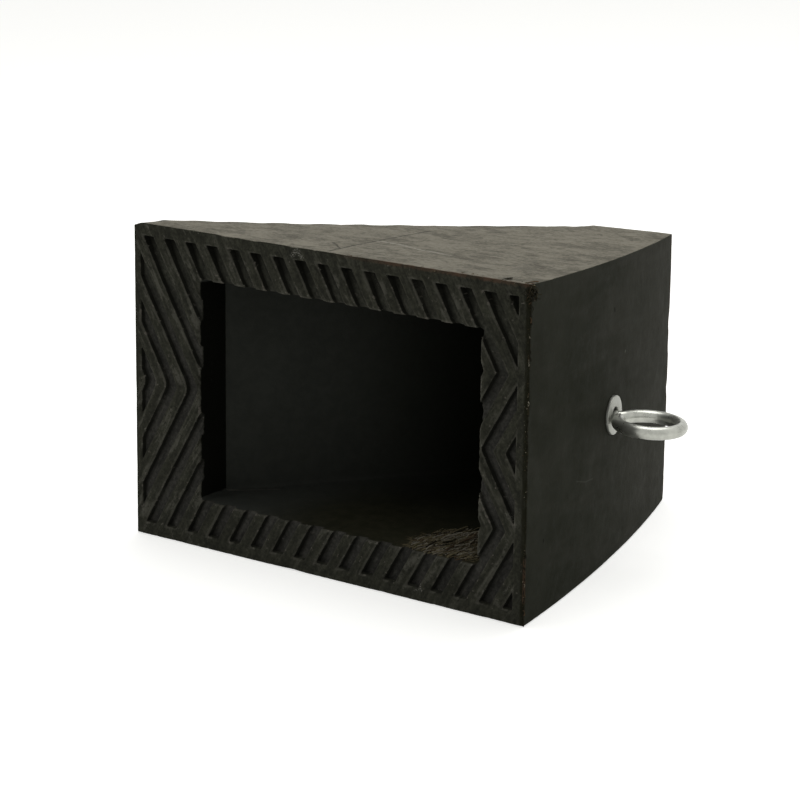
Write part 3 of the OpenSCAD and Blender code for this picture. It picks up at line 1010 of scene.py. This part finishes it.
def patchPoints():
    (middleX, middleY), (reachX, reachY) = patch["centre"], patch["reach"]
    baldY, baldRate, baldX = patch["baldBend"]
    topY, topRate, topX = patch["topEdge"]
    points = []
    while len(points) < patch["count"]:
        u, v = dice.uniform(-1, 1, 2)
        px, py = middleX + reachX * u, middleY + reachY * v
        bald = px > patch["baldFrom"] and abs(py - baldY - baldRate * (px - baldX)) < patch["baldHalf"]
        if (not bald and u * u + v * v < 1 - patch["ragged"] * dice.random()
                and px < pocketHeel - py * leanRate - patch["heelGap"]
                and patch["lowest"] < py < topY - topRate * (topX - px)):
            points.append((px, py, -pocketHalf + py * draftRate + dice.uniform(*patch["lift"])))
    return points


# The draws below are made in this order, so that the fibres stay where they are
dice = np.random.default_rng(12)
fibreFinishes = {name: fibreMaterial(name, mix) for name, mix in fibreMixes.items()}
spread, clump = dice.uniform(*flash["heelRange"]), dice.normal(*flash["heelClump"]).clip(*flash["clumpEnds"])
heights = np.concatenate([spread, clump])
heelRow = [(flash["heelX"] + dice.uniform(*flash["heelSpread"]), flash["heelY"], v) for v in heights]
heelFlash = fibres("heelFlash", heelRow, dice.uniform(*flash["heelLengths"], len(heelRow)), "tornFlash")
topRow = [(v, *flash["topPlace"]) for v in np.concatenate([dice.uniform(*v) for v in flash["topRanges"]])]
topLengths = dice.uniform(*flash["topLengths"], len(topRow)) ** 2 + flash["topShortest"]
topFlash = fibres("topFlash", topRow, topLengths, "tornStained")
tuftX, tuftY, tuftZ = flash["tuftCorner"]
spreadX, spreadZ = flash["tuftSpread"]
tuft = [(tuftX - abs(dice.normal(0, spreadX)), tuftY, tuftZ - abs(dice.normal(0, spreadZ)))
        for k in range(flash["tuftCount"])]
cornerTuft = fibres("cornerTuft", tuft, dice.uniform(*flash["tuftLengths"], len(tuft)), "tornTuft")
looseHairs = fibres("looseHairs", [(x, hairDepth, z) for x, z, length in hairPlaces],
                    [length for x, z, length in hairPlaces], "tornTuft")
patchSpots = patchPoints()
tornPatch = fibres("tornPatch", patchSpots, dice.uniform(*flash["patchLengths"], len(patchSpots)), "tornLining")
for piece in (heelFlash, topFlash, cornerTuft, looseHairs, tornPatch):
    settle(piece, slot="rubber")
    spots = np.clip(readPoints(piece.data), np.array(cadBox[0]) + keepInside, np.array(cadBox[1]) - keepInside)
    piece.data.vertices.foreach_set("co", spots.ravel())
    piece.data.update()

# Eye bolt. Its own frame: x out of the heel face, y up the heel, z across the width
bolt = {
    "wire": 0.008,
    "eyeRadius": 0.019,
    "neckTurn": 65,
    "neckBend": 0.006,
    "neckGap": 0.002,        # the straight shank ends this far before the bend
    "standoff": 0.0004,
    "droop": 3.2,
    "offset": -0.003,
    "endGap": 0.0006,
    "endBevel": 0.0004,
    "tipBevel": 0.001,
    "tipRadius": 0.0012,
    "tipRing": (0.0002, 0.0001),
    "endRings": ((0.0001, -0.00012), (0.0003, 0.0), (0.0005, 0.0), (0.0022, 0.0)),
    "threadEnd": 0.005,
    "around": 36,
    "shankSteps": 110,
    "neckSteps": 14,
    "eyeSteps": 110,
    "washerThick": 0.002,
    "washerOut": 0.024,
    "washerIn": 0.0104,
    "washerLift": 0.001,
    "washerEdge": 0.0003,
    "nutFlats": 0.013,
    "nutHeight": 0.0065,
    "nutEdge": 0.0005,
    "nutRings": (0.001, 0.0002),               # how far inside the flats they lie
    "nutBevel": (0.0001, 0.55),
    "clearance": 0.0001,
}
middleStrip = chock["heelStrips"] // 2
seat = (heelStrip(middleStrip) + heelStrip(middleStrip + 1)) / 2
lean = math.radians(chock["heelLean"])
boltWall = chock["heelWall"] + (seat - heelFoot) @ np.array([math.cos(lean), math.sin(lean)])
shankLength = boltWall + bolt["washerThick"] + bolt["nutHeight"] + bolt["threadEnd"]
onBoltLine = Matrix.Translation((seat[0], seat[1], bolt["offset"])) @ Matrix.Rotation(lean, 4, "Z")


def eyePath():
    neckTurn = math.radians(bolt["neckTurn"])
    neckBend, eyeRadius = bolt["neckBend"], bolt["eyeRadius"]
    reach = neckBend + eyeRadius
    eyeX = bolt["washerThick"] + bolt["standoff"] + bolt["wire"] / 2 + eyeRadius
    neckX = eyeX - reach * math.sin(neckTurn)
    shift = reach * math.cos(neckTurn) - neckBend
    endTurn = math.asin((bolt["wire"] / 2 + bolt["endGap"] - shift) / eyeRadius)
    droop = math.radians(bolt["droop"])
    path = [(v, 0, 0, 0) for v in np.linspace(-shankLength, neckX - bolt["neckGap"], bolt["shankSteps"])]
    turns = np.linspace(0, neckTurn, bolt["neckSteps"])
    bend = [(neckBend * math.sin(v), neckBend * (1 - math.cos(v))) for v in turns]
    sweep = np.linspace(math.pi / 2 + neckTurn, -math.pi + endTurn, bolt["eyeSteps"])[1:]
    bend += [(reach * math.sin(neckTurn) + eyeRadius * math.cos(v), -shift + eyeRadius * math.sin(v)) for v in sweep]
    for a, b in bend:
        path.append((neckX + a * math.cos(droop), b, -a * math.sin(droop), droop))
    return path


def wireMesh():
    path = eyePath()
    points = [Vector(p[:3]) for p in path]
    last = len(path) - 1
    mesh = bmesh.new()
    runLayer, turnLayer = [mesh.verts.layers.float.new(name) for name in ("wireRun", "wireTurn")]

    def addRing(k, radius, push=0.0):
        ahead = (points[min(k + 1, last)] - points[max(k - 1, 0)]).normalized()
        across = Vector((math.sin(path[k][3]), 0, math.cos(path[k][3])))
        across = (across - ahead * across.dot(ahead)).normalized()
        side = across.cross(ahead)
        ring = []
        for m in range(bolt["around"]):
            turn = 2 * math.pi * m / bolt["around"]
            spot = points[k] + ahead * push + (across * math.cos(turn) + side * math.sin(turn)) * radius
            vert = mesh.verts.new(spot)
            vert[runLayer], vert[turnLayer] = path[k][0], m / bolt["around"]
            ring.append(vert)
        return ring

    full = bolt["wire"] / 2
    tip = full - bolt["tipBevel"]
    narrower, further = bolt["tipRing"]
    ring = addRing(0, bolt["tipRadius"])
    mesh.faces.new(ring)
    for radius, push in ((tip - narrower, 0.0), (tip, further), (full, bolt["tipBevel"])):
        ring = bridge(mesh, ring, addRing(0, radius, push))
    for k in range(3, len(path)):
        ring = bridge(mesh, ring, addRing(k, full, -bolt["endBevel"] if k == last else 0.0))
    for inset, push in bolt["endRings"]:
        ring = bridge(mesh, ring, addRing(last, full - inset, push))
    mesh.faces.new(ring)
    return smoothMesh(mesh, "eyeBolt")


thread = {
    "Thread pitch": 0.00125,
    "Thread depth": 0.0006,
    "Thread start": float(-shankLength),
    "Thread length": 0.030,
    "Hammer marks": 0.00006,
}
hammered = (180, 2)          # the noise of the hammer marks
runOut = 0.92                # the share of its length at which the thread starts to fade


def threadTree():
    tree, given, out = newTree("rolledThread", {**thread, "Material": None})
    place = add(tree, "GeometryNodeInputPosition").outputs[0]
    run, turn = stored(tree, "wireRun"), stored(tree, "wireTurn")
    wave = calc("PINGPONG", total(calc("DIVIDE", run, given["Thread pitch"]), turn), 0.5)
    past = minus(run, given["Thread start"])
    keep = minus(1.0, ramp(past, product(given["Thread length"], runOut), given["Thread length"]))
    inwards = total(product(wave, 2.0, keep, given["Thread depth"]),
                    product(noise(place, *hammered), given["Hammer marks"]))
    push = scaled(add(tree, "GeometryNodeInputNormal").outputs[0], product(inwards, -1.0))
    flow = add(tree, "GeometryNodeSetPosition", Geometry=given["Geometry"], Offset=push).outputs[0]
    return endTree(flow, given, out)


zinc = {                     # colour, roughness from and to, and how strong the grime is
    "zincWire": ((0.51, 0.517, 0.467), 0.26, 0.36, 0.2),
    "zincWasher": ((0.40, 0.405, 0.365), 0.38, 0.55, 0.3),
    "zincNut": ((0.42, 0.43, 0.41), 0.3, 0.5, 0.4),
}
zincLook = {
    "metal": 0.78,
    "shaded": 0.75,          # the darker blotches, as a share of the colour
    "grime": (0.06, 0.06, 0.055),
    "grimeRoughness": 0.3,
    "blotches": (140, 4, 0.6), "blotchFade": (0.35, 0.7), "roughFade": (0.3, 0.75),
    "specks": (520, 3, 0.6), "speckFade": (0.66, 0.76),
    "grain": (1100, 4, 0.7), "bump": (0.2, 0.0001),
}


def zincMaterial(name):
    look = zincLook
    color, low, high, grime = zinc[name]
    material, shader, where = newMaterial(name)
    blotch = noise(where, *look["blotches"])
    tint = blendColor(ramp(blotch, *look["blotchFade"]), tuple(v * look["shaded"] for v in color), color)
    specks = ramp(noise(where, *look["specks"]), *look["speckFade"], 0.0, grime)
    rough = total(ramp(blotch, *look["roughFade"], low, high), product(specks, look["grimeRoughness"]))
    fill(shader, Base_Color=blendColor(specks, tint, look["grime"]), Metallic=look["metal"], Roughness=rough,
         Normal=bumped(noise(where, *look["grain"]), *look["bump"]))
    return material


finishes = {name: zincMaterial(name) for name in zinc}
threadValues = {**thread, "Material": finishes["zincWire"]}
eyeBolt = runTree(placed("boltBlank", wireMesh()), threadTree(), threadValues, "eyeBolt")
eyeBolt.data.transform(onBoltLine)
settle(eyeBolt, "eye_bolt", slot="zinc_wire")


def turned(name, profile, material, around=72, radiusAt=None):
    mesh = bmesh.new()
    rings = []
    for a, r in profile:
        ring = []
        for m in range(around):
            turn = 2 * math.pi * m / around
            here = radiusAt(turn, a, r) if radiusAt else (a, r)
            ring.append(mesh.verts.new((here[0], here[1] * math.cos(turn), here[1] * math.sin(turn))))
        rings.append(ring)
    for near, far in zip(rings, rings[1:] + rings[:1]):
        bridge(mesh, near, far)
    result = smoothMesh(mesh, name)
    result.set_sharp_from_angle(angle=math.radians(50))
    result.materials.append(material)
    return placed(name, result)


def washerProfile(start):
    edge, end = bolt["washerEdge"], start + bolt["washerThick"]
    inner, outer = bolt["washerIn"] / 2, bolt["washerOut"] / 2
    return [
        (start, inner + edge), (start, outer - edge), (start + edge / 3, outer - edge / 3), (start + edge, outer),
        (end - edge, outer), (end - edge / 3, outer - edge / 3), (end, outer - edge), (end, inner + edge),
        (end - edge / 3, inner + edge / 3), (end - edge, inner), (start + edge, inner),
        (start + edge / 3, inner + edge / 3)]


nutEnd = -boltWall - bolt["washerThick"]     # also where the inner washer starts
for name, node, start, lift in (("outerWasher", "outer_washer", 0.0, bolt["washerLift"]),
                                ("innerWasher", "inner_washer", nutEnd, 0.0)):
    washer = turned(name, washerProfile(start), finishes["zincWasher"])
    washer.data.transform(onBoltLine @ Matrix.Translation((0, 0, lift)))
    settle(washer, node, slot="zinc_washer")

nutStart = nutEnd - bolt["nutHeight"]
flats = bolt["nutFlats"] / 2


def nutShape(turn, a, r):    # the outer rings become a hexagon with bevelled corners
    if r < flats - outerRing:
        return a, r
    if r < flats + edge / 2:
        return a, flats - outerRing
    hexRadius = flats / math.cos((turn + math.pi / 6) % (math.pi / 3) - math.pi / 6)
    least, rate = bolt["nutBevel"]
    bevel = least + (hexRadius - flats) * rate
    return (min(a, nutEnd - bevel) if a > (nutStart + nutEnd) / 2 else max(a, nutStart + bevel)), hexRadius


bore, edge = bolt["wire"] / 2 + bolt["clearance"], bolt["nutEdge"]
innerRing, outerRing = bolt["nutRings"]
nutProfile = [
    (nutStart, bore + edge), (nutStart, flats - innerRing), (nutStart, flats), (nutStart, flats + edge),
    (nutEnd, flats + edge), (nutEnd, flats), (nutEnd, flats - innerRing), (nutEnd, bore + edge),
    (nutEnd - edge, bore), (nutStart + edge, bore)]
nut = turned("hexNut", nutProfile, finishes["zincNut"], radiusAt=nutShape)
nut.data.transform(onBoltLine)
settle(nut, "nut", slot="zinc_nut")

# Studio: pale floor, soft lamps, camera
studio = {
    "cameraAt": (1.0176, -1.329, 0.5736),
    "right": (0.79324, 0.60862, -0.01895),
    "up": (-0.15777, 0.23549, 0.95898),
    "lens": 126,
    "shiftY": 11 / 800,
    "floor": 14.0,
    "floorDrop": 0.0004,
    "floorColor": (0.82, 0.82, 0.80, 1),
    "floorRoughness": 0.9,
    "floorShine": 0.1,
    "floorGlow": 0.6,
    "glowColor": (1, 1, 0.985, 1),
    "world": 0.36,
    "lampSize": 1.2,
    "lampAim": (0, 0, 0.1),
    "lamps": {"overhead": ((-0.1, 0.4, 1.6), 15), "front": ((-1.3, -1.9, 0.9), 6)},
}


def studioFloor():
    mesh = bmesh.new()
    bmesh.ops.create_grid(mesh, x_segments=4, y_segments=4, size=studio["floor"])
    data = asMesh(mesh, "studioFloor")
    data.transform(Matrix.Translation((0, 0, -studio["floorDrop"])))
    material = bpy.data.materials.new("paleFloor")
    material.use_nodes = True
    paths = add(material.node_tree, "ShaderNodeLightPath").outputs
    seen = calc("MAXIMUM", paths["Is Camera Ray"], paths["Is Glossy Ray"])
    fill(material.node_tree.nodes["Principled BSDF"], Base_Color=studio["floorColor"],
         Roughness=studio["floorRoughness"], Specular_IOR_Level=studio["floorShine"],
         Emission_Color=studio["glowColor"], Emission_Strength=product(seen, studio["floorGlow"]))
    data.materials.append(material)
    floor = placed("studioFloor", data)


def studioWorld():
    world = bpy.data.worlds.new("paleRoom")
    bpy.context.scene.world = world
    world.use_nodes = True
    paths = add(world.node_tree, "ShaderNodeLightPath").outputs
    seen = chain("MAXIMUM", [paths[f"Is {name} Ray"] for name in ("Camera", "Glossy", "Transmission")])
    fill(world.node_tree.nodes["Background"], Color=studio["glowColor"],
         Strength=ramp(seen, 0.0, 1.0, studio["world"], 1.0, smooth=False))


def areaLamp(name, place, power):
    light = bpy.data.lights.new(name, "AREA")
    light.shape = "SQUARE"
    light.size = studio["lampSize"]
    light.energy = power
    lamp = placed(name, light)
    lamp.location = place
    lamp.rotation_euler = (Vector(studio["lampAim"]) - Vector(place)).to_track_quat("-Z", "Y").to_euler()


studioFloor()
studioWorld()
for name, (place, power) in studio["lamps"].items():
    areaLamp(name, place, power)

lens = bpy.data.cameras.new("camera")
lens.lens = studio["lens"]
lens.sensor_width = 36
lens.shift_y = studio["shiftY"]
camera = placed("camera", lens)
right, up = Vector(studio["right"]).normalized(), Vector(studio["up"]).normalized()
axes = zip(right, up, right.cross(up), studio["cameraAt"])
camera.matrix_world = Matrix((*axes, (0, 0, 0, 1)))
bpy.context.scene.camera = camera
bpy.context.scene.view_settings.view_transform = "Standard"

print("scene finished")
